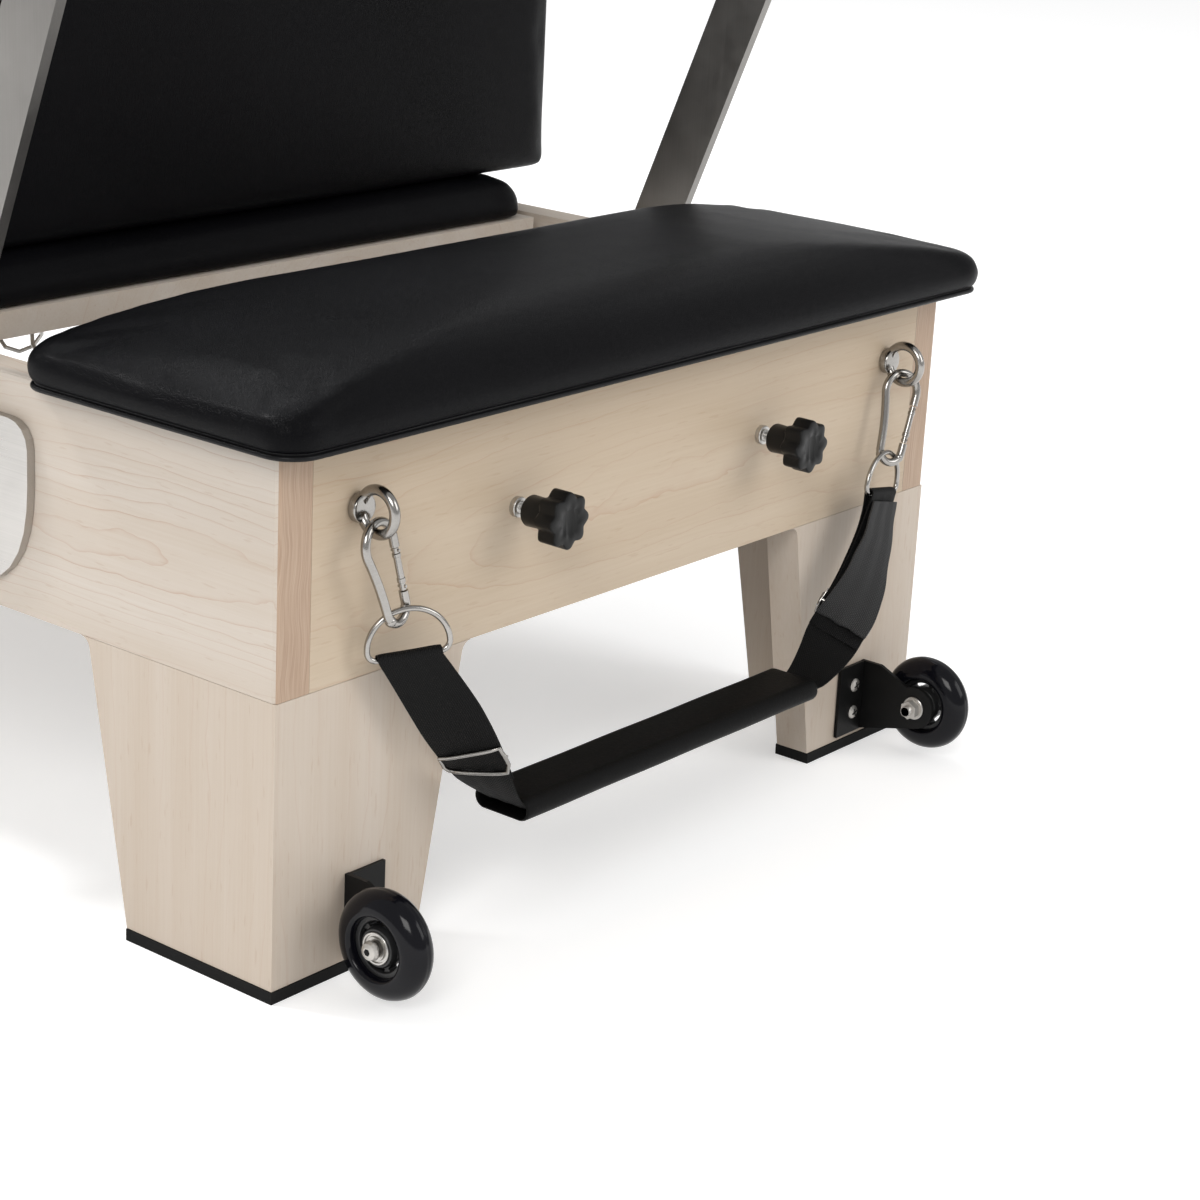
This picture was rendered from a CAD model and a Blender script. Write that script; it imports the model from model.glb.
from math import asin, cos, pi, radians, sin, tau

import bmesh
import bpy
import numpy as np
from mathutils import Matrix, Vector, noise


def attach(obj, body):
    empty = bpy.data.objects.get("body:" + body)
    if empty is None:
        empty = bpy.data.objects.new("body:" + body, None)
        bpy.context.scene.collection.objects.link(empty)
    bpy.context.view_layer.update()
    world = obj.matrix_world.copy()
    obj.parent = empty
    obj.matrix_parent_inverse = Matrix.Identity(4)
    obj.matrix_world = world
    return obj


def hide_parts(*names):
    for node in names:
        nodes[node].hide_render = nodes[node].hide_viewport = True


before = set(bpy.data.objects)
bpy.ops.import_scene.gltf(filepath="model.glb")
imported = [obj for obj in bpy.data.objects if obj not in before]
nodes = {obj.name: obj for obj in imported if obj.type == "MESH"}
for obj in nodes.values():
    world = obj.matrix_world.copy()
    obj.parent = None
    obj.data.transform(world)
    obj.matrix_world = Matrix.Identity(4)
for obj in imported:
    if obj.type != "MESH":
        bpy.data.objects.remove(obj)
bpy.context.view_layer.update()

# Lengths are in metres. A name with OUT says how far a thing stands in front of the foot end's face.
SIDES = ((-1, "left"), (1, "right"))
QUARTER = pi / 2
FRONT = -1.1770
BOARD = 0.028
RAIL_TOP = 0.351
NOSE = 0.030
PLATFORM_HALF = 0.3715
PLATFORM_BACK = 0.205
PLATFORM_CORNER = 0.024
KNOB_SPACING = 0.265
KNOB_SHIFT = -0.0045
KNOB_HEIGHT = 0.276
KNOB_OUT = 0.012
KNOB_HUB = 0.018
KNOB_LOBES = 8
THREAD_PITCH = 0.00125
EYE_SPACING = 0.567
EYE_HEIGHT = 0.3052
EYE_OUT = 0.0165
EYE_RADIUS = 0.0137
EYE_ROD = 0.0034
HOOK_ROD = 0.0030
HOOK_SLACK = 0.0007
HOOK_BIG = 0.0142
HOOK_SMALL = 0.0098
HOOK_LEAN = 0.0155
HOOK_LENGTH = 0.0650
DEE_ROD = 0.0019
DEE_HALF = 0.0265
DEE_CORNER = 0.0062
DEE_BOW = 0.0243
HANDLE_LENGTH = 0.325
HANDLE_HEIGHT = 0.088
HANDLE_OUT = 0.025
HANDLE_SHIFT = -0.007
HANDLE_WALL = 0.0024
WEB_WIDTH = 0.041
WEB_THICK = 0.0016
WEB_APART = 0.0011
WEB_SPANS = 12
SLIDE_AT = 0.50
SLIDE_STEP = 0.075
SLIDE_ROD = 0.0014
BRACKET_FACE = 0.2875
BRACKET_THICK = 0.003
SPACER = 0.0035
WHEEL_WIDE = 0.024
WHEEL_OUT = 0.0505
WHEEL_HEIGHT = 0.042
SCREW_X = 0.273
SCREW_LEVELS = (0.029, 0.051)

CAMERA_ANGLES = (-51.8948, 18.4658, 3.0163)
CAMERA_PLACE = (-1.46638, -2.29142, 0.79493)
CAMERA_LENS = 85.18
WORLD_FILL = 0.55
PAPER = 0.80
PAPER_GLOW = 0.42
COVER_FRAMES = 20
COVER_STIFFNESS = 40.0

# Pale and warm tones of the maple, which the photograph shows darker on the end rail.
RAIL_MAPLE = ((0.652, 0.592, 0.528), (0.575, 0.490, 0.405))
END_MAPLE = ((0.595, 0.490, 0.372), (0.520, 0.405, 0.285))
LEG_MAPLE = ((0.612, 0.536, 0.460), (0.545, 0.450, 0.358))
YEAR_LINE = (0.47, 0.29, 0.20)
FLECK = (0.42, 0.27, 0.17)
BARE_STEEL = (0.56, 0.54, 0.51)
INSERT_STEEL = (0.50, 0.47, 0.43)


def at(x, back, z):
    """A place `back` metres behind the front face of the foot end."""
    return Vector((x, FRONT + back, z))


def around(angle):
    """Cosine and sine of an angle in radians."""
    return cos(angle), sin(angle)


# ---- shader nodes

def fill(made, inputs):
    """Set a node's sockets to values, or link them from other sockets."""
    for key, value in inputs.items():
        if isinstance(value, bpy.types.NodeSocket):
            made.id_data.links.new(value, made.inputs[key])
        else:
            made.inputs[key].default_value = value
    return made


def add(tree, kind, inputs, **settings):
    made = tree.nodes.new("ShaderNode" + kind)
    for key, value in settings.items():
        setattr(made, key, value)
    return fill(made, inputs)


def link(tree, ends, values):
    for name, value in values.items():
        tree.links.new(value, ends[name])


def maths(tree, operation, *values, clamp=False):
    return add(tree, "Math", dict(enumerate(values)), operation=operation, use_clamp=clamp).outputs[0]


def vectors(tree, operation, first, second):
    return add(tree, "VectorMath", {0: first, 1: second}, operation=operation).outputs[0]


def parts_of(tree, vector):
    return add(tree, "SeparateXYZ", {0: vector}).outputs


def noisy(tree, place, scale=1.0, detail=2.0, roughness=0.5):
    """Noise as its Fac and Color outputs."""
    return add(tree, "TexNoise", {"Vector": place, "Scale": scale, "Detail": detail,
                                  "Roughness": roughness}).outputs


def stretched(tree, place, along, across):
    """Coordinates scaled along the pattern's X and across it."""
    return add(tree, "Mapping", {"Vector": place, "Scale": (along, across, across)}).outputs[0]


def ramp(tree, value, stops, smooth=False):
    """Grey levels or colours at places along a value."""
    made = add(tree, "ValToRGB", {"Fac": value})
    made.color_ramp.interpolation = "EASE" if smooth else "LINEAR"
    while len(made.color_ramp.elements) < len(stops):
        made.color_ramp.elements.new(0.5)
    for element, (place, colour) in zip(made.color_ramp.elements, stops):
        element.position = place
        element.color = (*(colour if isinstance(colour, tuple) else (colour,) * 3), 1.0)
    return made.outputs["Color"]


def blend_colours(tree, share, first, second):
    made = add(tree, "Mix", {"Factor": share}, data_type="RGBA")
    for slot, colour in ((6, first), (7, second)):
        fill(made, {slot: colour if isinstance(colour, bpy.types.NodeSocket) else (*colour, 1.0)})
    return made.outputs[2]


# ---- making pieces

def new_piece(name, bm, material, sharp=40.0):
    mesh = bpy.data.meshes.new(name)
    bm.to_mesh(mesh)
    bm.free()
    mesh.shade_smooth()
    mesh.set_sharp_from_angle(angle=radians(sharp))
    mesh.materials.append(material)
    piece = bpy.data.objects.new(name, mesh)
    bpy.context.scene.collection.objects.link(piece)
    return piece


def closed(bm, near=1e-6):
    """Doubles merged and faces turned outwards."""
    bmesh.ops.remove_doubles(bm, verts=bm.verts, dist=near)
    bmesh.ops.recalc_face_normals(bm, faces=bm.faces)
    return bm


def lathe(bm, profile, place, axis, steps=48):
    """Spin (radius, along) points about an axis through `place`."""
    turned = bmesh.new()
    verts = [turned.verts.new((radius, 0, along)) for radius, along in profile]
    edges = [turned.edges.new(pair) for pair in zip(verts, verts[1:])]
    bmesh.ops.spin(turned, geom=verts + edges, cent=(0, 0, 0), axis=(0, 0, 1), dvec=(0, 0, 0),
                   angle=tau, steps=steps, use_merge=True)
    upright = Vector((0, 0, 1)).rotation_difference(Vector(axis)).to_matrix().to_4x4()
    bmesh.ops.transform(turned, matrix=Matrix.Translation(place) @ upright, verts=turned.verts)
    mesh = bpy.data.meshes.new("turned")
    turned.to_mesh(mesh)
    turned.free()
    bm.from_mesh(mesh)
    bpy.data.meshes.remove(mesh)


def loft(bm, loops, capped=True):
    """Extrude a closed loop of edges through loops of points, with flat caps on its two ends."""
    ring = [bm.verts.new(point) for point in loops[0]]
    edges = [bm.edges.new(pair) for pair in zip(ring, ring[1:] + ring[:1])]
    rings = [ring]
    for points in loops[1:]:
        made = bmesh.ops.extrude_edge_only(bm, edges=edges)["geom"]
        fresh = {part for part in made if isinstance(part, bmesh.types.BMVert)}
        edges = [part for part in made
                 if isinstance(part, bmesh.types.BMEdge) and fresh.issuperset(part.verts)]
        ring = [fresh.intersection(edge.other_vert(vert) for edge in vert.link_edges).pop() for vert in ring]
        for vert, point in zip(ring, points):
            vert.co = point
        rings.append(ring)
    if capped:
        bm.faces.new(rings[0])
        bm.faces.new(rings[-1])
    return rings


def wire(bm, path, radius, joined=False, steps=12):
    """Round wire of even thickness along points; `joined` brings its end to its start."""
    points = [Vector(point) for point in path]
    turn = None
    loops = []
    for k, point in enumerate(points):
        before = points[k - 1] if joined or k else point
        after = points[(k + 1) % len(points)] if joined or k + 1 < len(points) else point
        tangent = (after - before).normalized()
        turn = tangent.orthogonal().normalized() if turn is None else turn
        turn = (turn - tangent * turn.dot(tangent)).normalized()
        over = tangent.cross(turn)
        spokes = [around(tau * j / steps) for j in range(steps)]
        loops.append([point + (turn * u + over * v) * radius for u, v in spokes])
    if joined:
        first, last = loops[0], loops[-1]
        slip = min(range(steps), key=lambda j: (first[j] - last[0]).length)
        loops.append(first[slip:] + first[:slip])
    loft(bm, loops, capped=not joined)


def rounded(half, back_low, back_high, corner, steps=8):
    """Plan outline of a rounded rectangle as (x, back) points."""
    x, low, high = half - corner, back_low + corner, back_high - corner
    return [(centre_x + corner * u, back + corner * v)
            for centre_x, back, start in ((x, low, -90), (x, high, 0), (-x, high, 90), (-x, low, 180))
            for u, v in (around(radians(start + 90 * k / steps)) for k in range(steps + 1))]


def hexagon(radius):
    return [(radius * u, radius * v) for u, v in (around(tau * k / 6) for k in range(6))]


def place_piece(name, bm, material, body, slot, *stands_for, sharp=40.0, edges=0.0):
    piece = new_piece(name, closed(bm), MADE[material], sharp)
    if edges:
        ease = piece.modifiers.new("edges", "BEVEL")
        ease.width = edges
        ease.segments = 2
        ease.angle_limit = radians(50)
        ease.use_clamp_overlap = True
    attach(piece, body)
    if stands_for:
        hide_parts(*stands_for)


# ---- camera, floor and lamps

def make_camera():
    swing, lift, roll = (radians(angle) for angle in CAMERA_ANGLES)
    back = Vector((sin(swing) * cos(lift), -cos(swing) * cos(lift), sin(lift)))
    right = Vector((cos(swing), sin(swing), 0))
    up = back.cross(right)
    across = right * cos(roll) + up * sin(roll)
    over = up * cos(roll) - right * sin(roll)
    data = bpy.data.cameras.new("photo_camera")
    data.sensor_width = 36.0
    data.lens = CAMERA_LENS
    camera = bpy.data.objects.new("photo_camera", data)
    turn = Matrix((across, over, back)).transposed().to_4x4()
    camera.matrix_world = Matrix.Translation(CAMERA_PLACE) @ turn
    bpy.context.scene.collection.objects.link(camera)
    bpy.context.scene.camera = camera


def soft_lamp(name, place, target, size, power, colour=(1.0, 1.0, 1.0)):
    data = bpy.data.lights.new(name, "AREA")
    data.shape = "RECTANGLE"
    data.size = data.size_y = size
    data.energy = power
    data.color = colour
    lamp = bpy.data.objects.new(name, data)
    lamp.location = place
    lamp.rotation_euler = (Vector(target) - Vector(place)).to_track_quat("-Z", "Y").to_euler()
    bpy.context.scene.collection.objects.link(lamp)


def make_world():
    """White to the camera, and as light an even fill with a bright and a dark strip behind on the right."""
    world = bpy.data.worlds.new("studio")
    bpy.context.scene.world = world
    world.use_nodes = True
    tree = world.node_tree
    sky = tree.nodes["Background"].inputs
    sky["Color"].default_value = (1.0, 1.0, 1.0, 1.0)
    look = parts_of(tree, add(tree, "TexCoord", {}).outputs["Generated"])
    turn = maths(tree, "ARCTAN2", look["Y"], look["X"])
    strips = ramp(tree, turn, ((0.30, 0.50), (0.52, 0.74), (0.60, 0.52), (0.68, 0.12), (0.98, 0.06),
                               (1.0, 0.10)))
    low = ramp(tree, look["Z"], ((0.0, 1.0), (0.34, 1.0), (0.62, 0.0)))
    aside = maths(tree, "ABSOLUTE", maths(tree, "SUBTRACT", turn, 1.0))
    share = maths(tree, "MULTIPLY", low, maths(tree, "LESS_THAN", aside, 0.7))
    glow = add(tree, "Mix", {0: share, 2: WORLD_FILL, 3: strips}, data_type="FLOAT").outputs[0]
    seen = add(tree, "LightPath", {}).outputs["Is Camera Ray"]
    link(tree, sky, {"Strength": maths(tree, "MAXIMUM", glow, seen)})


def make_floor():
    """Pale paper that glows only to the camera, in mirrors and through glass, and keeps the shadow."""
    material = bpy.data.materials.new("studio_floor")
    material.use_nodes = True
    tree = material.node_tree
    tree.nodes.clear()
    rays = add(tree, "LightPath", {}).outputs
    seen = maths(tree, "MAXIMUM", rays["Is Camera Ray"], rays["Is Glossy Ray"])
    seen = maths(tree, "MAXIMUM", seen, rays["Is Transmission Ray"])
    paper = add(tree, "BsdfDiffuse", {"Color": (PAPER, PAPER, PAPER, 1.0)})
    glow = add(tree, "Emission", {"Color": (1.0, 1.0, 1.0, 1.0),
                                  "Strength": maths(tree, "MULTIPLY", seen, PAPER_GLOW)})
    lit = add(tree, "AddShader", {0: paper.outputs[0], 1: glow.outputs[0]})
    add(tree, "OutputMaterial", {"Surface": lit.outputs[0]})
    bm = bmesh.new()
    bmesh.ops.create_grid(bm, x_segments=1, y_segments=1, size=30.0)
    new_piece("studio_floor", bm, material)


def make_studio():
    make_world()
    make_floor()
    foot_end = (0.0, -0.9, 0.2)
    soft_lamp("key_left", (-4.2, -3.4, 3.4), foot_end, 2.2, 118.0, (1.0, 0.985, 0.965))
    soft_lamp("key_front", (1.6, -5.2, 2.6), foot_end, 2.6, 62.0)
    soft_lamp("top_back", (0.8, 1.6, 4.2), (0.0, -0.2, 0.3), 3.2, 80.0, (0.97, 0.985, 1.0))
    soft_lamp("rim_left", (-0.95, 0.65, 2.75), (-0.35, -1.1, 0.37), 0.5, 40.0)
    bpy.context.scene.view_settings.view_transform = "Standard"


# ---- shader groups

def new_group(name, inputs, outputs):
    """A shader group; `inputs` are (label, kind, value) and `outputs` (label, kind)."""
    tree = bpy.data.node_groups.new(name, "ShaderNodeTree")
    for label, kind, value in inputs:
        socket = tree.interface.new_socket(label, in_out="INPUT", socket_type="NodeSocket" + kind)
        if value is not None:
            socket.default_value = value
    for label, kind in outputs:
        tree.interface.new_socket(label, in_out="OUTPUT", socket_type="NodeSocket" + kind)
    given = tree.nodes.new("NodeGroupInput").outputs
    return tree, given, tree.nodes.new("NodeGroupOutput").inputs


def make_timber_group():
    """Pale maple: the pattern's X runs along the grain, Y across the board and Z into it."""
    tree, given, result = new_group(
        "timber", (("Place", "Vector", None), ("Ring gap", "Float", 0.016), ("Heart", "Vector", (0, 0, 0)),
                   ("Pale", "Color", (0.7, 0.6, 0.5, 1)), ("Warm", "Color", (0.6, 0.45, 0.3, 1)),
                   ("Line strength", "Float", 0.5)),
        (("Colour", "Color"), ("Height", "Float"), ("Gloss", "Float")))
    place = given["Place"]

    # Year lines are rings round the tree's heart, swayed by slow noise and roughened by quick noise.
    slow = stretched(tree, place, 2.6, 8.5)
    drift = vectors(tree, "SUBTRACT", noisy(tree, slow, roughness=0.45)["Color"], (0.5, 0.5, 0.5))
    sway = vectors(tree, "MULTIPLY", drift, (0.0, 0.046, 0.046))
    quick = noisy(tree, stretched(tree, place, 26.0, 60.0))["Color"]
    ripple = vectors(tree, "MULTIPLY", quick, (0.0, 0.0042, 0.0042))
    moved = vectors(tree, "ADD", vectors(tree, "ADD", place, sway), ripple)
    lean = parts_of(tree, vectors(tree, "SUBTRACT", moved, given["Heart"]))
    deep = maths(tree, "MULTIPLY_ADD", lean["X"], 0.030, lean["Z"])
    squares = maths(tree, "ADD", maths(tree, "POWER", deep, 2.0), maths(tree, "POWER", lean["Y"], 2.0))
    turns = maths(tree, "DIVIDE", maths(tree, "SQRT", squares), given["Ring gap"])
    line = maths(tree, "POWER", maths(tree, "FRACT", turns), 20.0)
    year = add(tree, "TexWhiteNoise", {"W": maths(tree, "FLOOR", turns)}, noise_dimensions="1D")
    strong = maths(tree, "MULTIPLY", line, maths(tree, "POWER", year.outputs["Value"], 0.8))
    patchy = maths(tree, "MULTIPLY_ADD", noisy(tree, slow, 2.3, 1.0)["Fac"], 2.6, -0.55, clamp=True)
    there = maths(tree, "MULTIPLY", strong, patchy)
    lined = maths(tree, "MULTIPLY", there, given["Line strength"], clamp=True)

    # Fibres and broad bands turn the pale wood warmer, and short flecks darken it.
    fibre = noisy(tree, stretched(tree, place, 9.0, 620.0), detail=3.0, roughness=0.6)["Fac"]
    band = noisy(tree, stretched(tree, place, 1.3, 26.0), detail=4.0, roughness=0.55)["Fac"]
    streak = maths(tree, "ADD", maths(tree, "MULTIPLY", fibre, 0.45), maths(tree, "MULTIPLY", band, 0.9))
    tone = ramp(tree, streak, ((0.42, 0.0), (0.95, 1.0)))
    body = blend_colours(tree, tone, given["Pale"], given["Warm"])
    speck = noisy(tree, stretched(tree, place, 55.0, 420.0), detail=1.0)["Fac"]
    dark = maths(tree, "MULTIPLY", ramp(tree, speck, ((0.66, 0.0), (0.74, 1.0))), 0.22)
    flecked = blend_colours(tree, dark, body, FLECK)
    link(tree, result, {"Colour": blend_colours(tree, lined, flecked, YEAR_LINE),
                        "Height": maths(tree, "SUBTRACT", maths(tree, "MULTIPLY", fibre, 0.35), lined),
                        "Gloss": maths(tree, "MULTIPLY_ADD", band, 0.16, 0.36)})
    return tree


def make_end_grain_group():
    """Sawn end of a board: close wavy year lines and small pores."""
    tree, given, result = new_group(
        "end_grain", (("Place", "Vector", None),), (("Colour", "Color"), ("Height", "Float")))
    slow = noisy(tree, given["Place"], 16.0)["Fac"]
    parts = parts_of(tree, given["Place"])
    across = maths(tree, "MULTIPLY_ADD", slow, 0.012, parts["X"])
    lines = add(tree, "CombineXYZ", {"X": maths(tree, "MULTIPLY", across, 1100.0), "Y": 0.0,
                                     "Z": maths(tree, "MULTIPLY", parts["Z"], 16.0)}).outputs[0]
    grain = noisy(tree, lines, detail=3.0, roughness=0.6)["Fac"]
    tone = ramp(tree, grain, ((0.30, (0.385, 0.262, 0.185)), (0.50, (0.462, 0.332, 0.240)),
                              (0.72, (0.530, 0.400, 0.300))))
    link(tree, result, {"Colour": tone, "Height": grain})
    return tree


def make_hide_group():
    """Leatherette: small pebbles in folds, with long soft creases."""
    tree, given, result = new_group(
        "hide", (("Place", "Vector", None), ("Pebble", "Float", 900.0)),
        (("Height", "Float"), ("Gloss", "Float"), ("Worn", "Float")))
    place = given["Place"]
    shift = vectors(tree, "MULTIPLY", noisy(tree, place, 240.0)["Color"], (0.0012, 0.0012, 0.0012))
    cells = add(tree, "TexVoronoi", {"Vector": vectors(tree, "ADD", place, shift), "Scale": given["Pebble"]},
                feature="DISTANCE_TO_EDGE")
    pebble = ramp(tree, cells.outputs["Distance"], ((0.0, 0.0), (0.16, 1.0)), smooth=True)
    crease = maths(tree, "MULTIPLY", noisy(tree, place, 21.0, 3.0)["Fac"], 1.1)
    smear = noisy(tree, place, 6.5, 4.0, 0.6)["Fac"]
    sheen = maths(tree, "MULTIPLY_ADD", pebble, -0.06, 0.29)
    link(tree, result, {"Height": maths(tree, "MULTIPLY_ADD", pebble, 0.5, crease),
                        "Gloss": maths(tree, "MULTIPLY_ADD", smear, 0.14, sheen),
                        "Worn": maths(tree, "MULTIPLY_ADD", smear, 2.0, -0.6, clamp=True)})
    return tree


def make_weave_group():
    """Ribbed webbing on UVs in metres: U runs across the strap and V along it."""
    tree, given, result = new_group(
        "weave", (("Place", "Vector", None), ("Thread", "Float", 0.0011)),
        (("Height", "Float"), ("Shade", "Float")))
    parts = parts_of(tree, given["Place"])
    u, v = (maths(tree, "DIVIDE", parts[axis], given["Thread"]) for axis in "XY")

    def humps(value):
        return maths(tree, "ABSOLUTE", maths(tree, "SINE", maths(tree, "MULTIPLY", value, pi)))

    stagger = maths(tree, "MODULO", maths(tree, "FLOOR", u), 4.0)
    step = maths(tree, "MULTIPLY_ADD", stagger, 0.5, maths(tree, "MULTIPLY", v, 0.55))
    rise = maths(tree, "MULTIPLY", humps(u), maths(tree, "MULTIPLY_ADD", humps(step), 0.65, 0.35))
    fuzz = noisy(tree, given["Place"], 2600.0, 1.0)["Fac"]
    link(tree, result, {"Height": maths(tree, "MULTIPLY_ADD", fuzz, 0.12, rise), "Shade": rise})
    return tree


def make_drawn_group():
    """Long scratches of a brushed finish, along the pattern's X."""
    tree, given, result = new_group(
        "drawn", (("Place", "Vector", None), ("Fineness", "Float", 1600.0)),
        (("Height", "Float"), ("Gloss", "Float"), ("Tint", "Float")))
    parts = parts_of(tree, given["Place"])
    fine = {axis: maths(tree, "MULTIPLY", parts[axis], 11.0 if axis == "X" else given["Fineness"])
            for axis in "XYZ"}
    hair = noisy(tree, add(tree, "CombineXYZ", fine).outputs[0], detail=3.0, roughness=0.65)["Fac"]
    cloud = noisy(tree, given["Place"], 14.0, 3.0)["Fac"]
    dull = maths(tree, "MULTIPLY", cloud, 0.08)
    link(tree, result, {"Height": hair, "Gloss": maths(tree, "MULTIPLY_ADD", hair, 0.16, dull),
                        "Tint": maths(tree, "MULTIPLY_ADD", hair, 0.5, cloud)})
    return tree


def make_handled_group():
    """Faint finger marks, dust and scuffs that change gloss."""
    tree, given, result = new_group(
        "handled", (("Place", "Vector", None), ("Size", "Float", 30.0)),
        (("Smear", "Float"), ("Dust", "Float")))
    dust = noisy(tree, given["Place"], 900.0)["Fac"]
    link(tree, result, {"Smear": noisy(tree, given["Place"], given["Size"], 5.0, 0.62)["Fac"],
                        "Dust": ramp(tree, dust, ((0.60, 0.0), (0.72, 1.0)))})
    return tree


# ---- finishes

GROUPS = {}
MADE = {}


def use(tree, name, inputs):
    made = tree.nodes.new("ShaderNodeGroup")
    made.node_tree = GROUPS[name]
    return fill(made, inputs).outputs


def new_finish(name, constants):
    """A new material and its tree, shader and Object coordinates."""
    material = bpy.data.materials.new(name)
    material.use_nodes = True
    tree = material.node_tree
    shader = fill(tree.nodes["Principled BSDF"], constants)
    return material, tree, shader.inputs, add(tree, "TexCoord", {}).outputs["Object"]


def bump(tree, height, strength, distance):
    return add(tree, "Bump", {"Height": height, "Strength": strength, "Distance": distance}).outputs[0]


def near_axis(tree, place, axis, spots, radius, beyond=None):
    """Mask of the points within `radius` of lines along an axis; `spots` are their other two coordinates."""
    parts = parts_of(tree, place)
    across = [letter for letter in "XYZ" if letter != axis]
    mask = None
    for spot in spots:
        squares = [maths(tree, "POWER", maths(tree, "SUBTRACT", parts[letter], value), 2.0)
                   for letter, value in zip(across, spot)]
        inside = maths(tree, "LESS_THAN", maths(tree, "ADD", *squares), radius * radius)
        mask = inside if mask is None else maths(tree, "MAXIMUM", mask, inside)
    if beyond is not None:
        mask = maths(tree, "MULTIPLY", mask, maths(tree, "LESS_THAN", parts[axis], beyond))
    return mask


def maple(name, turn, heart, gap, tones, lines, offset=(0, 0, 0), ends=False, inserts=()):
    """Maple turned so that the pattern's X follows the board's grain, with end grain or steel inserts."""
    material, tree, shader, place = new_finish(name, {"Specular IOR Level": 0.35})
    board = add(tree, "Mapping", {"Vector": place, "Rotation": turn, "Location": offset}).outputs[0]
    wood = use(tree, "timber", {"Place": board, "Ring gap": gap, "Heart": heart, "Pale": (*tones[0], 1.0),
                                "Warm": (*tones[1], 1.0), "Line strength": lines})
    colour, gloss = wood["Colour"], wood["Gloss"]
    if ends:
        cut = use(tree, "end_grain", {"Place": place})
        outward = parts_of(tree, add(tree, "NewGeometry", {}).outputs["Normal"])
        share = ramp(tree, maths(tree, "ABSOLUTE", outward["Y"]), ((0.80, 0.0), (0.90, 1.0)))
        colour = blend_colours(tree, share, colour, cut["Colour"])
    if inserts:
        metal = near_axis(tree, place, "Y", inserts, 0.0068, FRONT - 0.0004)
        colour = blend_colours(tree, metal, colour, INSERT_STEEL)
        gloss = maths(tree, "MULTIPLY_ADD", metal, -0.12, gloss)
        link(tree, shader, {"Metallic": metal})
    link(tree, shader, {"Base Color": colour, "Roughness": gloss,
                        "Normal": bump(tree, wood["Height"], 0.25, 0.0004)})
    return material


def black_vinyl():
    material, tree, shader, place = new_finish("black_vinyl", {"Specular IOR Level": 0.055})
    hide = use(tree, "hide", {"Place": place, "Pebble": 900.0})
    tone = blend_colours(tree, hide["Worn"], (0.0022, 0.0022, 0.0028), (0.0042, 0.0042, 0.0052))
    link(tree, shader, {"Base Color": tone, "Roughness": hide["Gloss"],
                        "Normal": bump(tree, hide["Height"], 0.34, 0.0008)})
    return material


def steel(name, colour, low, spread, fineness, turn=(0, 0, 0), depth=0.12):
    """Drawn steel, its roughness from `low` upwards and its scratches as fine as `fineness`."""
    material, tree, shader, place = new_finish(name, {"Metallic": 1.0})
    turned = add(tree, "Mapping", {"Vector": place, "Rotation": turn}).outputs[0]
    drawn = use(tree, "drawn", {"Place": turned, "Fineness": fineness})
    marks = use(tree, "handled", {"Place": place, "Size": 45.0})
    tint = ramp(tree, drawn["Tint"], ((0.55, 0.0), (1.0, 1.0)))
    smeared = maths(tree, "MULTIPLY_ADD", marks["Smear"], spread * 0.25, low)
    link(tree, shader, {"Base Color": blend_colours(tree, tint, [c * 0.78 for c in colour], colour),
                        "Roughness": maths(tree, "MULTIPLY_ADD", drawn["Gloss"], spread, smeared),
                        "Normal": bump(tree, drawn["Height"], depth, 0.0001)})
    return material


def coated(name, colour, low, spread, size, depth, specular, fasteners=()):
    """A black coat; `fasteners` are (axis, spots, radius, beyond) where bare steel shows instead."""
    material, tree, shader, place = new_finish(name, {"Specular IOR Level": specular})
    marks = use(tree, "handled", {"Place": place, "Size": size})
    tone = blend_colours(tree, marks["Smear"], colour, [c * 1.7 for c in colour])
    gloss = maths(tree, "MULTIPLY_ADD", marks["Smear"], spread, low)
    bare = None
    for fastener in fasteners:
        found = near_axis(tree, place, *fastener)
        bare = found if bare is None else maths(tree, "MAXIMUM", bare, found)
    if bare is not None:
        tone = blend_colours(tree, bare, tone, BARE_STEEL)
        gloss = maths(tree, "MULTIPLY_ADD", bare, 0.05, gloss, clamp=True)
        link(tree, shader, {"Metallic": bare})
    grit = maths(tree, "MULTIPLY_ADD", marks["Dust"], 0.5, marks["Smear"])
    link(tree, shader, {"Base Color": tone, "Roughness": gloss, "Normal": bump(tree, grit, depth, 0.0003)})
    return material


def woven(name, low, high, specular):
    """Black webbing, as grey as `low` between its threads and `high` on them."""
    material, tree, shader, place = new_finish(name, {"Specular IOR Level": specular})
    along = add(tree, "UVMap", {}, uv_map="along").outputs[0]
    weave = use(tree, "weave", {"Place": along, "Thread": 0.0013})
    tone = blend_colours(tree, weave["Shade"], (low, low, low), (high, high, high * 1.03))
    link(tree, shader, {"Base Color": tone,
                        "Roughness": maths(tree, "MULTIPLY_ADD", weave["Shade"], -0.2, 0.75),
                        "Normal": bump(tree, weave["Height"], 0.8, 0.0005)})
    return material


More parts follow.
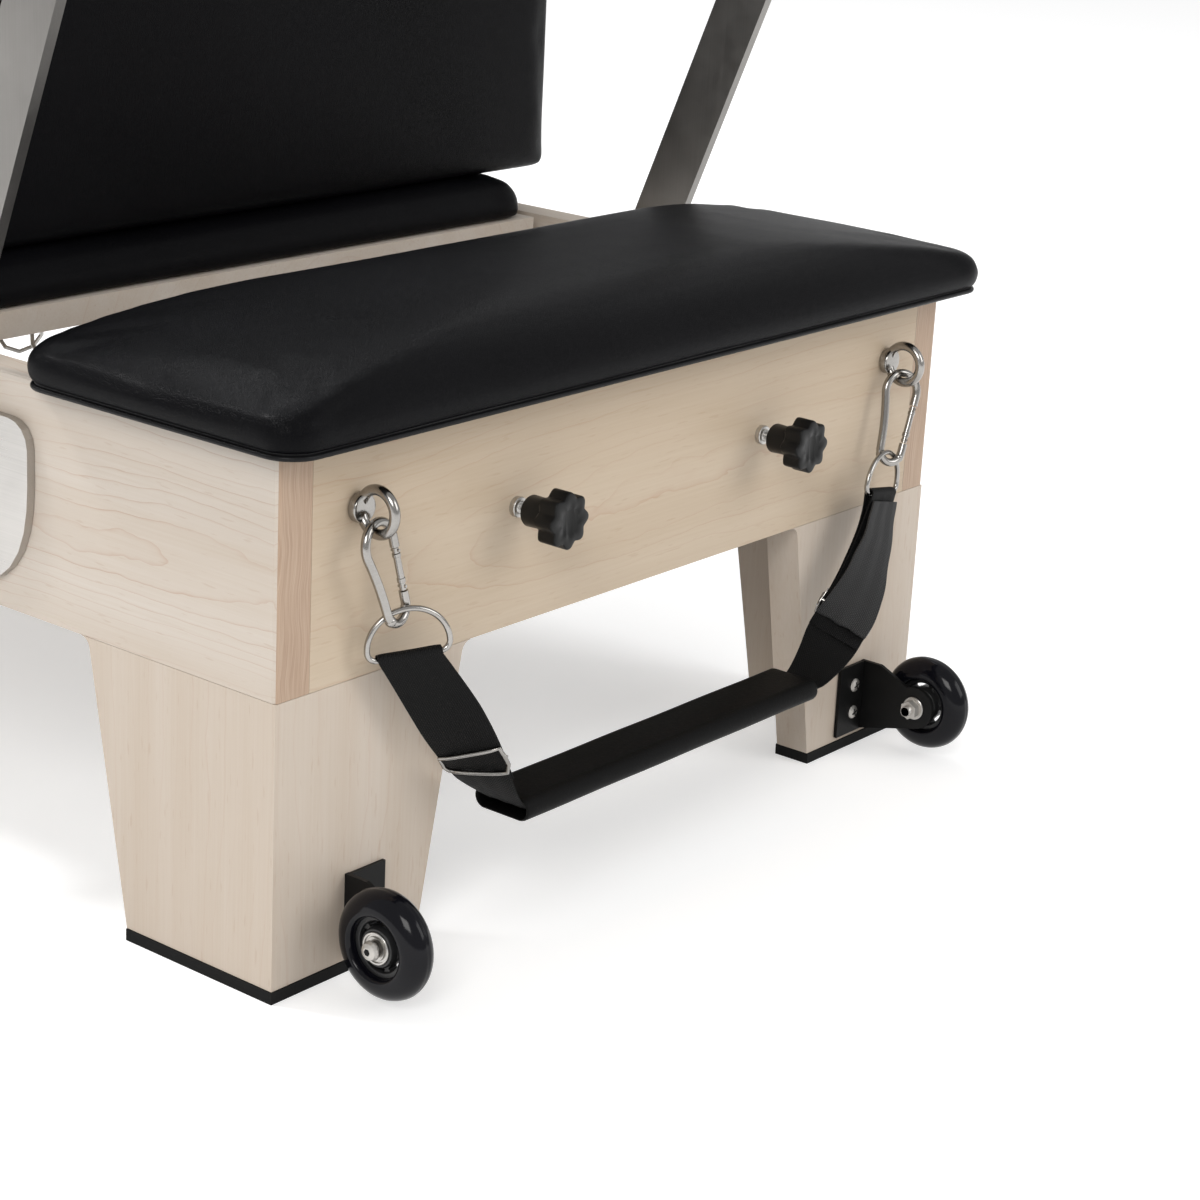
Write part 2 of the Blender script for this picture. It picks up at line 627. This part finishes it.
def make_finishes():
    GROUPS.update(timber=make_timber_group(), end_grain=make_end_grain_group(), hide=make_hide_group(),
                  weave=make_weave_group(), drawn=make_drawn_group(), handled=make_handled_group())
    inserts = [(side * KNOB_SPACING / 2 + KNOB_SHIFT, KNOB_HEIGHT) for side, word in SIDES]
    screws = [(side * SCREW_X, level) for side, word in SIDES for level in SCREW_LEVELS]
    axle = [(FRONT - WHEEL_OUT, WHEEL_HEIGHT)]
    MADE.update(
        rail=maple("maple_rail", (0, 0, -QUARTER), (1.5, 0.305, 0.195), 0.0062, RAIL_MAPLE, 1.0, ends=True),
        end=maple("maple_end_rail", (QUARTER, 0, 0), (0.42, -0.255, -1.125), 0.0064, END_MAPLE, 0.85,
                  inserts=inserts),
        leg_side=maple("maple_leg", (0, -QUARTER, 0), (0.6, 0.2, 0.6), 0.008, LEG_MAPLE, 0.35),
        bench=maple("maple_bench", (0, 0, -QUARTER), (0.2, 0.1, 0.2), 0.015, RAIL_MAPLE, 0.45, (0.3, 0.2, 0)),
        vinyl=black_vinyl(),
        polished=steel("polished_steel", (0.40, 0.385, 0.365), 0.10, 0.35, 700.0),
        brushed=steel("brushed_steel", (0.31, 0.298, 0.283), 0.24, 0.8, 1500.0, (0, -QUARTER, 0), 0.3),
        plate=steel("plate_steel", (0.54, 0.522, 0.50), 0.16, 0.6, 1500.0, (0, 0, -QUARTER), 0.2),
        zinc=steel("zinc_steel", (0.60, 0.585, 0.56), 0.20, 0.5, 900.0),
        powder=coated("powder_coat", (0.0045, 0.0045, 0.0045), 0.30, 0.25, 420.0, 0.25, 0.15,
                      (("X", axle, 0.0085), ("Y", screws, 0.0062, FRONT - 0.0034))),
        plastic=coated("knob_plastic", (0.0050, 0.0050, 0.0050), 0.26, 0.20, 160.0, 0.15, 0.20),
        urethane=coated("wheel_urethane", (0.0030, 0.0030, 0.0046), 0.06, 0.12, 60.0, 0.05, 0.20),
        hub=coated("wheel_hub", (0.0120, 0.0120, 0.0125), 0.28, 0.20, 200.0, 0.15, 0.45),
        rubber=coated("foot_rubber", (0.0070, 0.0070, 0.0070), 0.62, 0.20, 260.0, 0.5, 0.12),
        sleeve=coated("handle_sleeve", (0.0030, 0.0030, 0.0030), 0.42, 0.16, 300.0, 0.4, 0.08),
        recess=coated("recess_shade", (0.010, 0.010, 0.010), 0.60, 0.20, 300.0, 0.2, 0.1),
        welt=coated("cover_welt", (0.0045, 0.0045, 0.0050), 0.26, 0.20, 500.0, 0.5, 0.16),
        grip=coated("bar_grip", (0.0065, 0.0065, 0.0065), 0.50, 0.2, 520.0, 0.6, 0.14),
        webbing=woven("black_webbing", 0.0010, 0.0054, 0.16),
        ribbed=woven("ribbed_webbing", 0.0030, 0.0260, 0.40))


# ---- cushions

# Cover, CAD node, body, voxel, pressure, furthest move, height held at the base, fill and unevenness.
CUSHIONS = (
    ("platform_cushion", "platform_pad", "frame", 0.004, 1.2, 0.0022, 0.004, 0.9, 0.0006),
    ("carriage_cushion", "carriage_pad", "carriage", 0.006, 1.2, 0.0020, 0.006, 0.9, 0.0006),
    ("head_cushion", "headrest", "headrest", 0.004, 2.0, 0.004, 0.006, 0.8, 0.0),
    ("left_shoulder_cushion", "shoulder_rest_left", "carriage", 0.004, 2.0, 0.003, 0.006, 0.8, 0.0),
    ("right_shoulder_cushion", "shoulder_rest_right", "carriage", 0.004, 2.0, 0.003, 0.006, 0.8, 0.0),
    ("box_cover", "sitting_box", "sitting_box", 0.006, 1.2, 0.0022, 0.006, 0.8, 0.0010))

# The platform's pad from its base to its crown: how far in from the back and front, from the ends, and up.
PLATFORM_ROWS = (
    (0.0040, 0.0040, 0.0036), (0.0018, 0.0018, 0.0060), (0.0004, 0.0004, 0.0105), (0.0, 0.0, 0.0160),
    (0.0010, 0.0010, 0.0205), (0.0028, 0.0032, 0.0243), (0.0050, 0.0075, 0.0278), (0.0080, 0.0170, 0.0318),
    (0.0122, 0.0400, 0.0362), (0.0172, 0.0680, 0.0405), (0.0235, 0.1000, 0.0446), (0.0330, 0.1350, 0.0485),
    (0.0470, 0.1800, 0.0518), (0.0680, 0.2300, 0.0543), (0.0920, 0.2800, 0.0556), (0.1160, 0.3300, 0.0561))


def merged_copy(node):
    """The CAD node's mesh with its loose triangles joined."""
    bm = bmesh.new()
    bm.from_mesh(nodes[node].data)
    return closed(bm, 1e-5)


def platform_form():
    """The platform's pad: low sides, a tight shoulder and a long rise to the top."""
    loops = []
    for deep, wide, level in PLATFORM_ROWS:
        room = min(PLATFORM_HALF - wide, (PLATFORM_BACK + NOSE + 0.007) / 2 - deep) - 0.0002
        corner = min(max(0.003, PLATFORM_CORNER - deep * 0.55 + wide * 0.15), room)
        plan = rounded(PLATFORM_HALF - wide, deep - NOSE - 0.001, PLATFORM_BACK + 0.006 - deep, corner, 6)
        loops.append([at(x, back, RAIL_TOP + level) for x, back in plan])
    bm = bmesh.new()
    loft(bm, loops)
    return closed(bm)


def apply_modifiers(piece):
    bpy.context.view_layer.update()
    graph = bpy.context.evaluated_depsgraph_get()
    mesh = bpy.data.meshes.new_from_object(piece.evaluated_get(graph))
    piece.modifiers.clear()
    old, piece.data = piece.data, mesh
    bpy.data.meshes.remove(old)


def numbers_of(rows, what):
    values = np.empty(len(rows) * 3)
    rows.foreach_get(what, values)
    return values.reshape(-1, 3)


def blow_up(piece, held, pressure):
    """Swell the cover as cloth, with the points whose indices are `held` kept still."""
    piece.vertex_groups.new(name="held").add(held, 1.0, "REPLACE")
    cloth = piece.modifiers.new("cover", "CLOTH")
    settings = cloth.settings
    settings.effector_weights.gravity = 0.0
    settings.use_pressure = True
    settings.uniform_pressure_force = pressure
    settings.vertex_group_mass = "held"
    settings.tension_stiffness = settings.compression_stiffness = COVER_STIFFNESS
    settings.bending_stiffness = 2.0
    settings.quality = 3
    cloth.collision_settings.use_collision = False
    for step in range(1, COVER_FRAMES + 1):
        bpy.context.scene.frame_set(step)
    apply_modifiers(piece)
    bpy.context.scene.frame_set(1)


def stuffed(name, node, body, voxel, pressure, furthest, held_low, full, uneven):
    """Foam under a sewn cover: a solid form, blown up slightly as cloth and held along its base."""
    form = platform_form() if node == "platform_pad" else merged_copy(node)
    piece = new_piece(name, form, MADE["vinyl"])
    remesh = piece.modifiers.new("even", "REMESH")
    remesh.mode = "VOXEL"
    remesh.voxel_size = voxel
    remesh.use_smooth_shade = True
    apply_modifiers(piece)
    start = numbers_of(piece.data.vertices, "co")
    low = start[:, 2].min()
    blow_up(piece, np.flatnonzero(start[:, 2] < low + held_low).tolist(), pressure)
    moved = numbers_of(piece.data.vertices, "co") - start
    length = np.maximum(np.linalg.norm(moved, axis=1), 1e-9)
    moved *= np.minimum(1.0, furthest / length)[:, None]
    out = numbers_of(piece.data.vertex_normals, "vector")
    dents = np.array([noise.noise(Vector(place) * 7.0 + Vector((3.1, 0.7, 9.2))) for place in start]) * uneven
    final = start + moved + out * dents[:, None]
    final[:, 2] = np.maximum(final[:, 2], low)
    piece.data.vertices.foreach_set("co", final.ravel())
    piece.data.update()
    piece.data.shade_smooth()
    soften = piece.modifiers.new("soften", "CORRECTIVE_SMOOTH")
    soften.iterations = 2
    soften.use_only_smooth = True
    finer = piece.modifiers.new("finer", "SUBSURF")
    finer.levels = finer.render_levels = 1
    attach(piece, body)
    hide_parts(node)


def make_piping():
    """The welt sewn round the foot of the platform's cover, and the board that it is tacked to."""
    bm = bmesh.new()
    corner = PLATFORM_CORNER - 0.003
    outline = rounded(PLATFORM_HALF - 0.0040, -NOSE + 0.0030, PLATFORM_BACK + 0.0020, corner)
    wire(bm, [at(x, back, RAIL_TOP + 0.0022) for x, back in outline], 0.0017, joined=True)
    inside = rounded(PLATFORM_HALF - 0.0046, -NOSE + 0.0036, PLATFORM_BACK + 0.0014, corner)
    loft(bm, [[at(x, back, RAIL_TOP + up) for x, back in inside] for up in (0.0003, 0.0060)])
    place_piece("platform_piping", bm, "welt", "frame", "vinyl", "platform_board")


# ---- wheels, fasteners and knobs

def make_wheel(side, word):
    """A skate wheel: a fat glossy tyre on a sunken five-spoke core with a steel bearing."""
    start = at(side * (BRACKET_FACE + SPACER), -WHEEL_OUT, WHEEL_HEIGHT)
    body = f"transport_wheel_{word}"
    axis = Vector((side, 0, 0))
    mid = WHEEL_WIDE / 2
    lip = [(0.0199, 0.0075), (0.0202, 0.0030), (0.0210, 0.0009), (0.0222, 0.0002)]
    swell = [(0.0222 + 0.0137 * u, mid + (mid - 0.0002) * v)
             for u, v in map(around, np.radians([-82, -72, -60, -48, -36, -24, -12, -3]))]
    seam = [(0.0358, mid - 0.0004), (0.0360, mid), (0.0358, mid + 0.0004)]
    half = lip + swell
    tyre = half + seam + [(radius, WHEEL_WIDE - along) for radius, along in reversed(half)]
    bm = bmesh.new()
    lathe(bm, tyre + tyre[:1], start, axis, 72)
    place_piece(f"tyre_{word}", bm, "urethane", body, "polyurethane", body, sharp=60)

    bm = bmesh.new()
    rim = [(0.0170, 0.0062), (0.0200, 0.0062), (0.0200, 0.0178), (0.0170, 0.0178), (0.0163, 0.0160),
           (0.0163, 0.0080), (0.0170, 0.0062)]
    nave = [(0.0107, 0.0036), (0.0122, 0.0036), (0.0132, 0.0056), (0.0132, 0.0184), (0.0122, 0.0204),
            (0.0107, 0.0204), (0.0107, 0.0036)]
    for ring in (rim, nave):
        lathe(bm, ring, start, axis, 60)
    edge = [(0.0126 + 0.0044 * t, 0.0017 + 0.0030 * (2 * t - 1) ** 2) for t in np.linspace(0, 1, 7)]
    spoke = edge + [(u, -w) for u, w in reversed(edge)]
    for k in range(5):
        y, z = around(tau * (k + 0.5) / 5)
        out, aside = Vector((0, y, z)), Vector((0, -z, y))
        loft(bm, [[start + axis * along + out * u + aside * w for u, w in spoke]
                  for along in (0.0082, 0.0158)])
    place_piece(f"wheel_core_{word}", bm, "hub", body, "polyurethane", edges=0.0003)

    bm = bmesh.new()
    race = [(0.0052, 0.0030), (0.0106, 0.0030), (0.0106, 0.0212), (0.0103, 0.0216), (0.0092, 0.0216),
            (0.0089, 0.0206), (0.0079, 0.0206), (0.0076, 0.0219), (0.0052, 0.0221), (0.0052, 0.0030)]
    lathe(bm, race, start, axis, 48)
    place_piece(f"bearing_{word}", bm, "zinc", body, "stainless", sharp=30)


def make_fasteners(side, word):
    """What shows on the CAD bolt, nut and screws: hex socket, washer and cross recesses."""
    head = at(side * (BRACKET_FACE + SPACER + WHEEL_WIDE + 0.0005), -WHEEL_OUT, WHEEL_HEIGHT)
    bm = bmesh.new()
    loft(bm, [[head + Vector((side * x, u, v)) for u, v in hexagon(0.0024)] for x in (0.0030, 0.00452)])
    for level in SCREW_LEVELS:
        for x, z in (around(0.35), around(0.35 + QUARTER)):
            slot = [Vector((x, 0, z)) * a * 0.0030 + Vector((-z, 0, x)) * b * 0.00055
                    for a, b in ((-1, -1), (1, -1), (1, 1), (-1, 1))]
            loft(bm, [[at(side * SCREW_X, back, level) + corner for corner in slot]
                      for back in (-0.0040, -0.00562)])
    place_piece(f"recesses_{word}", bm, "recess", "frame", "black_steel")

    inner = at(side * (BRACKET_FACE - BRACKET_THICK), -WHEEL_OUT, WHEEL_HEIGHT)
    bm = bmesh.new()
    washer = [(0.0, 0.0), (0.0088, 0.0), (0.0088, 0.0009), (0.0084, 0.0012), (0.0, 0.0012)]
    lathe(bm, washer, inner, (-side, 0, 0), 40)
    stub = [(0.0, 0.0120), (0.0036, 0.0120), (0.0040, 0.0112), (0.0040, 0.0), (0.0, 0.0)]
    lathe(bm, stub, inner, (-side, 0, 0), 24)
    place_piece(f"washer_{word}", bm, "zinc", "frame", "stainless", sharp=30)


def make_knob(side, word):
    """An eight-lobed clamping knob on a threaded stud."""
    x = side * KNOB_SPACING / 2 + KNOB_SHIFT
    body = f"star_knob_{word}"
    face = KNOB_OUT + KNOB_HUB
    outline = []
    for angle in np.arange(128) * tau / 128:
        lobe = 0.5 + 0.5 * cos(KNOB_LOBES * angle)
        radius = 0.0156 + 0.0034 * lobe ** 0.85
        outline.append((radius * cos(angle), radius * sin(angle)))
    rows = ((0.74, 0.0), (0.94, 0.0002), (0.985, 0.0008), (1.0, 0.0022), (1.0, 0.0134), (0.990, 0.0143),
            (0.968, 0.0148), (0.94, 0.0150), (0.55, 0.0150), (0.52, 0.0147))
    bm = bmesh.new()
    loft(bm, [[at(x + u * share, -face - along, KNOB_HEIGHT + v * share) for u, v in outline]
              for share, along in rows])
    hub = [(0.0, 0.003), (0.0100, 0.003), (0.0104, KNOB_HUB - 0.0010), (0.0098, KNOB_HUB), (0.0055, KNOB_HUB),
           (0.0050, KNOB_HUB - 0.0010), (0.0, KNOB_HUB - 0.0010)]
    lathe(bm, hub, at(x, -face, KNOB_HEIGHT), (0, 1, 0))
    place_piece(f"knob_head_{word}", bm, "plastic", body, "black_plastic", body, sharp=38)

    bm = bmesh.new()
    thread = [(0.0, 0.004)]
    for k in range(13):
        thread += [(0.0035, 0.004 - THREAD_PITCH * k), (0.0041, 0.004 - THREAD_PITCH * (k + 0.5))]
    thread += [(0.0035, 0.004 - THREAD_PITCH * 13), (0.0, 0.004 - THREAD_PITCH * 13)]
    lathe(bm, thread, at(x, 0, KNOB_HEIGHT), (0, 1, 0), 32)
    place_piece(f"stud_{word}", bm, "zinc", body, "stainless", sharp=50)

    bm = bmesh.new()
    collar = [(0.0046, -0.0041), (0.0064, -0.0041), (0.0068, -0.0036), (0.0068, 0.0), (0.0046, 0.0),
              (0.0046, -0.0041)]
    lathe(bm, collar, at(x, 0, KNOB_HEIGHT), (0, 1, 0), 40)
    place_piece(f"insert_{word}", bm, "zinc", "frame", "stainless", sharp=30)


# ---- foot strap

def hook_ends(side):
    """Middle of a snap hook's wire at its top, in the eye, and at its bottom, in the D-ring."""
    top = at(side * EYE_SPACING / 2, -EYE_OUT, EYE_HEIGHT - EYE_RADIUS + EYE_ROD + HOOK_ROD + HOOK_SLACK)
    return top, top + Vector((-side * HOOK_LEAN, -0.004, -HOOK_LENGTH))


def dee_frame(side):
    """Bar centre, bar direction and upright direction of a D-ring hung in a snap hook."""
    turn, tilt, hang = (radians(angle) for angle in ((29.0, 5.0, 12.0) if side < 0 else (8.0, 11.0, 12.0)))
    outward = Vector((side * cos(turn), sin(turn), 0))
    along = outward * cos(tilt) - Vector((0, 0, sin(tilt)))
    upright = Vector((0, 0, cos(tilt))) + outward * sin(tilt)
    touch = hook_ends(side)[1] + Vector((0, 0, HOOK_ROD + DEE_ROD + 0.0024))
    bar = touch - along * DEE_HALF * sin(hang) - upright * (DEE_CORNER + DEE_BOW * cos(hang))
    return bar, along, upright


def strap_frame(side, share):
    """Place, tangent, width direction and normal of the strap from the D-ring to the handle."""
    bar, along, upright = dee_frame(side)
    mouth = at(side * HANDLE_LENGTH / 2, -HANDLE_OUT, HANDLE_HEIGHT)
    leave = bar + Vector((-side * 0.029, -0.026, -0.050))
    enter = mouth + Vector((side * 0.020, 0, 0.002))

    def bent(t):
        rest = 1 - t
        return bar * rest ** 3 + leave * 3 * rest ** 2 * t + enter * 3 * rest * t ** 2 + mouth * t ** 3

    def pulled(t):
        tight = 0.75 * max(0.0, 1 - (t / SLIDE_AT) ** 2)
        return bent(t).lerp(bar.lerp(bent(SLIDE_AT), t / SLIDE_AT), tight)

    slope = pulled(min(1.0, share + 0.004)) - pulled(max(0.0, share - 0.004))
    tangent = slope.normalized()
    ease = share * share * (3 - 2 * share)
    width = (along * side).lerp(Vector((0, -1, 0)), ease)
    square = (width - tangent * width.dot(tangent)).normalized()
    width = width.normalized().lerp(square, min(1.0, share / 0.3))
    normal = tangent.cross(square).normalized() * -side
    return pulled(share), tangent, width, normal


def strap_rows(side):
    """Place, width and outward direction down the doubled webbing, and whether it is ribbed there."""
    wrap = DEE_ROD + 0.0006 + WEB_THICK / 2

    def offset(share):
        near = max(0.0, 1 - share / 0.18)
        away = min(1.0, max(0.0, (share - 0.62) / 0.2))
        return (WEB_APART + (wrap - WEB_APART) * near * near) * (1 - away)

    rows = []
    for share in (*np.linspace(SLIDE_AT + 0.115, SLIDE_AT, 6), *np.linspace(SLIDE_AT, 0.02, 34)[1:]):
        place, tangent, width, normal = strap_frame(side, share)
        rows.append((place - normal * offset(share), width, -normal, True))
    place, tangent, width, normal = strap_frame(side, 0.0)
    over = (tangent - width * tangent.dot(width)).normalized()
    for angle in np.linspace(180, 0, 13):
        u, v = around(radians(angle))
        out = normal * u - over * v
        rows.append((place + out * wrap, width, out, False))
    for share in np.linspace(0.02, 1.0, 64):
        place, tangent, width, normal = strap_frame(side, share)
        rows.append((place + normal * offset(share), width, normal, True))
    return rows


def weave_band(name, material, rows, section, *stands_for):
    """A strap through rows that start with (place, width, outward), with UVs in metres across and along."""
    run = [0.0]
    for first, second in zip(rows, rows[1:]):
        run.append(run[-1] + (second[0] - first[0]).length)
    loops = []
    for row, far in zip(rows, run):
        front, rear = zip(*(section(far, share, *row) for share in np.linspace(1, -1, WEB_SPANS + 1)))
        loops.append(front + rear[::-1])
    bm = bmesh.new()
    rings = loft(bm, loops)
    layer = bm.loops.layers.uv.new("along")
    across = [*range(WEB_SPANS + 1), *reversed(range(WEB_SPANS + 1))]
    spot = {vert: (k * WEB_WIDTH / WEB_SPANS, far)
            for ring, far in zip(rings, run) for k, vert in zip(across, ring)}
    for face in bm.faces:
        for corner in face.loops:
            corner[layer].uv = spot[corner.vert]
    place_piece(name, bm, material, "foot_strap", "webbing", *stands_for, sharp=70)


def make_strap():
    """Doubled webbing from each D-ring to the handle, in one band through it."""
    def section(far, share, place, width, out, ribbed):
        inside = min(1.0, max(0.0, (HANDLE_LENGTH / 2 + 0.030 - abs(place.x)) / 0.040))
        ripple = 0.00016 * sin(far * 95.0) + 0.00012 * sin(far * 41.0 + 1.0)
        middle = place + Vector((0, -0.0042, 0.0008)) * inside
        middle += width * (1 - 0.26 * inside) * share * WEB_WIDTH / 2 + out * ripple * (1 - share * share)
        thick = WEB_THICK / 2 * (1.0 - 0.45 * max(0.0, (abs(share) - 0.90) / 0.10))
        rib = 0.00022 * cos(share * 9.5) * (1 - share ** 4) if ribbed else 0.0
        return middle + out * (thick + rib), middle - out * (thick - rib)

    rows = strap_rows(-1) + strap_rows(1)[::-1]
    weave_band("foot_webbing", "webbing", rows, section, "strap_webbing")


def make_fold():
    """On the right the loose end comes back over the front, folded round the slide."""
    def section(far, share, place, width, out):
        rib = 0.00055 * cos(share * 8.0 + 0.6)
        middle = place + width * share * WEB_WIDTH / 2 + out * rib * (1 - share ** 4)
        return middle + out * 0.0007, middle - out * 0.0007

    rows = []
    for share in np.linspace(0.035, SLIDE_AT + 0.05, 40):
        place, tangent, width, normal = strap_frame(1, share)
        lift = 0.0044 + 0.0020 * min(1.0, share / 0.15) + 0.0004 * sin(share * 40.0)
        rows.append((place - normal * lift, width, -normal))
    place, tangent, width, normal = strap_frame(1, SLIDE_AT + 0.05)
    for angle in range(30, 181, 30):
        u, v = around(radians(angle))
        out = tangent * v - normal * u
        rows.append((place - normal * 0.0052 + out * 0.0012, width, out))
    weave_band("folded_end", "ribbed", rows, section)


def make_ring_bolt(side, word):
    x = side * EYE_SPACING / 2
    bm = bmesh.new()
    spots = map(around, np.linspace(0, tau, 49)[:-1])
    wire(bm, [at(x, EYE_RADIUS * u - EYE_OUT, EYE_HEIGHT + EYE_RADIUS * v) for u, v in spots], EYE_ROD,
         joined=True, steps=20)
    collar = [(0.0, 0.0003), (0.0088, 0.0003), (0.0095, 0.0009), (0.0095, 0.0052), (0.0089, 0.0062),
              (0.0076, 0.0066), (0.0, 0.0066)]
    lathe(bm, collar, at(x, 0, EYE_HEIGHT), (0, -1, 0))
    shank = [(0.0, -0.0400), (0.0044, -0.0400), (0.0044, 0.0), (0.0, 0.0)]
    lathe(bm, shank, at(x, 0, EYE_HEIGHT), (0, -1, 0), 24)
    loft(bm, [[at(x + u, BOARD + back, EYE_HEIGHT + v) for u, v in hexagon(0.0078)]
              for back in (0.0003, 0.0080)])
    place_piece(f"ring_bolt_{word}", bm, "polished", "frame", "stainless", f"eye_bolt_{word}", sharp=35)


def make_hook(side, word):
    """A pear-shaped snap hook: two arcs and a spine of wire, and a gate across its open side."""
    turn = radians(-8.0 if side < 0 else 20.0)
    sideways = Vector((cos(turn), -sin(turn), 0))
    top, bottom = hook_ends(side)
    pull = Vector((0, 0, -1)).lerp((bottom - top).normalized(), 0.5).normalized()
    big, small = top + pull * HOOK_BIG, bottom - pull * HOOK_SMALL
    down = (small - big).normalized()
    aside = (sideways - down * sideways.dot(down)).normalized()
    tilt = asin((HOOK_BIG - HOOK_SMALL) / (small - big).length)

    def arc(centre, radius, start, end, steps):
        spots = map(around, np.linspace(start, end, steps))
        return [centre + (aside * u - down * v) * radius for u, v in spots]

    upper = arc(big, HOOK_BIG, -tilt, pi + tilt, 30)
    lower = arc(small, HOOK_SMALL, pi + tilt, tau - tilt, 22)
    hinge, nose = upper[0].lerp(lower[-1], 0.16), upper[0].lerp(lower[-1], 0.84)
    spine = [upper[-1].lerp(lower[0], k / 12) + aside * 0.0012 * sin(pi * k / 12) for k in range(1, 12)]
    bm = bmesh.new()
    wire(bm, [hinge, *upper, *spine, *lower, nose], HOOK_ROD, steps=18)
    for place, size in ((lower[3], 0.0036), (lower[-4], 0.0034)):
        made = bmesh.ops.create_uvsphere(bm, u_segments=20, v_segments=12, radius=size)
        bmesh.ops.translate(bm, verts=made["verts"], vec=place)
    place_piece(f"hook_{word}", bm, "polished", "foot_strap", "stainless", f"snap_hook_{word}")

    start, end = hinge.lerp(nose, 0.025), hinge.lerp(nose, 0.975)
    along, long = (end - start).normalized(), (end - start).length
    tube = [(0.0, 0.0), (0.0021, 0.0), (0.0021, 0.0034), (0.0027, 0.0038), (0.0027, 0.0058), (0.0023, 0.0061),
            (0.0023, long - 0.0080), (0.0027, long - 0.0076), (0.0027, long - 0.0050),
            (0.0021, long - 0.0046), (0.0021, long), (0.0, long)]
    bm = bmesh.new()
    lathe(bm, tube, start, along, 24)
    pin = [(0.0, -0.0029), (0.0010, -0.0029), (0.0010, 0.0029), (0.0, 0.0029)]
    for far in (0.0018, long - 0.0022):
        lathe(bm, pin, start + along * far, along.cross(aside).normalized(), 12)
    gate = f"snap_gate_{word}"
    place_piece(f"gate_{word}", bm, "polished", gate, "stainless", gate, sharp=35)


def make_ring(side, word):
    """A D-ring: a straight bar, two tight corners and a bow."""
    centre, along, upright = dee_frame(side)
    reach = DEE_HALF - DEE_CORNER
    bar = [(u, 0.0) for u in np.linspace(-reach, reach, 9)]
    corner = [(reach + DEE_CORNER * v, DEE_CORNER - DEE_CORNER * u)
              for u, v in map(around, np.radians([15, 30, 45, 60, 75, 90]))]
    bow = [(DEE_HALF * u, DEE_CORNER + DEE_BOW * v)
           for u, v in map(around, np.radians(np.linspace(6, 174, 40)))]
    path = bar + corner + bow + [(-u, v) for u, v in reversed(corner)]
    bm = bmesh.new()
    wire(bm, [centre + along * u + upright * v for u, v in path], DEE_ROD, joined=True, steps=16)
    place_piece(f"ring_{word}", bm, "polished", "foot_strap", "stainless", f"dee_ring_{word}", sharp=60)


def make_handle():
    """A soft sleeve with rounded mouths over the webbing."""
    def stadium(inset):
        return [(centre + (0.008 - inset) * u, (0.008 - inset) * v)
                for centre, start in ((0.015, -90), (-0.015, 90))
                for u, v in (around(radians(start + 180 * k / 16)) for k in range(17))]

    half, wall = HANDLE_LENGTH / 2, HANDLE_WALL
    section = [(-half + 0.0009, 0.0003), (-half + 0.0022, 0.0)]
    section += [(x, 0.00012 * sin(x * 60.0)) for x in np.linspace(-half + 0.010, half - 0.010, 22)]
    section += [(half - 0.0022, 0.0), (half - 0.0009, 0.0003), (half, 0.0012),
                (half - 0.0009, wall - 0.0003), (half - 0.0030, wall), (-half + 0.0030, wall),
                (-half + 0.0009, wall - 0.0003), (-half, 0.0012)]
    loops = [[at(x + HANDLE_SHIFT, -HANDLE_OUT + u, HANDLE_HEIGHT + v) for u, v in stadium(inset)]
             for x, inset in section]
    bm = bmesh.new()
    loft(bm, loops + loops[:1], capped=False)
    place_piece("handle_sleeve", bm, "sleeve", "foot_strap", "rubber", "strap_handle", sharp=60)


def make_slide(side, word):
    """A bent-wire slide: an oblong loop in front of the webbing with a middle bar behind it."""
    half = WEB_WIDTH / 2 + 0.0010
    lift = WEB_THICK + WEB_APART / 2 + SLIDE_ROD
    centre, tangent, wide, out = strap_frame(side, SLIDE_AT)
    path = []
    for sign in (1, -1):
        place, slope, width, normal = strap_frame(side, SLIDE_AT - sign * SLIDE_STEP * 0.72)
        path += [place + normal * lift * (1.0 - 0.35 * k ** 4) + width * k * sign * (half - 0.0015)
                 for k in np.linspace(-1, 1, 9)]
        path += [centre + tangent * sign * 0.0062 * k + wide * sign * half + out * lift * 0.35
                 for k in (-0.75, 0.0, 0.75)]
    bm = bmesh.new()
    wire(bm, path, SLIDE_ROD, joined=True)
    bar = [centre - out * lift * (1 - 0.75 * k ** 4) + wide * k * half for k in np.linspace(-1, 1, 11)]
    wire(bm, bar, SLIDE_ROD)
    node = f"strap_slide_{word}"
    place_piece(f"wire_slide_{word}", bm, "polished", "foot_strap", "stainless", node, sharp=60)


# ---- dressing the CAD nodes

def both(*names):
    return [f"{name}_{word}" for name in names for side, word in SIDES]


DRESSED = {
    "rail": both("side_rail"),
    "end": ["end_rail_foot", "end_rail_head"],
    "leg_side": both("leg_foot", "leg_head"),
    "bench": ["carriage_board"],
    "rubber": both("rubber_foot_foot", "rubber_foot_head"),
    "plastic": both("footbar_knob", "pulley", "carriage_roller_front", "carriage_roller_back"),
    "powder": both("wheel_bracket"),
    "brushed": ["footbar", "spring_bar", "tower_frame", "push_through_bar"],
    "plate": both("footbar_plate"),
    "grip": ["footbar_grip"],
    "zinc": [f"carriage_spring_{k}" for k in (1, 2, 3, 4)] + both("leg_spring")}


def dress_nodes():
    for finish, names in DRESSED.items():
        for name in names:
            mesh = nodes[name].data
            mesh.materials.clear()
            mesh.materials.append(MADE[finish])
            mesh.shade_smooth()
            mesh.set_sharp_from_angle(angle=radians(32))


make_camera()
make_studio()
make_finishes()
dress_nodes()
for cushion in CUSHIONS:
    stuffed(*cushion)
make_piping()
make_strap()
make_fold()
make_handle()
for side, word in SIDES:
    for make in (make_wheel, make_fasteners, make_knob, make_slide, make_ring_bolt, make_hook, make_ring):
        make(side, word)
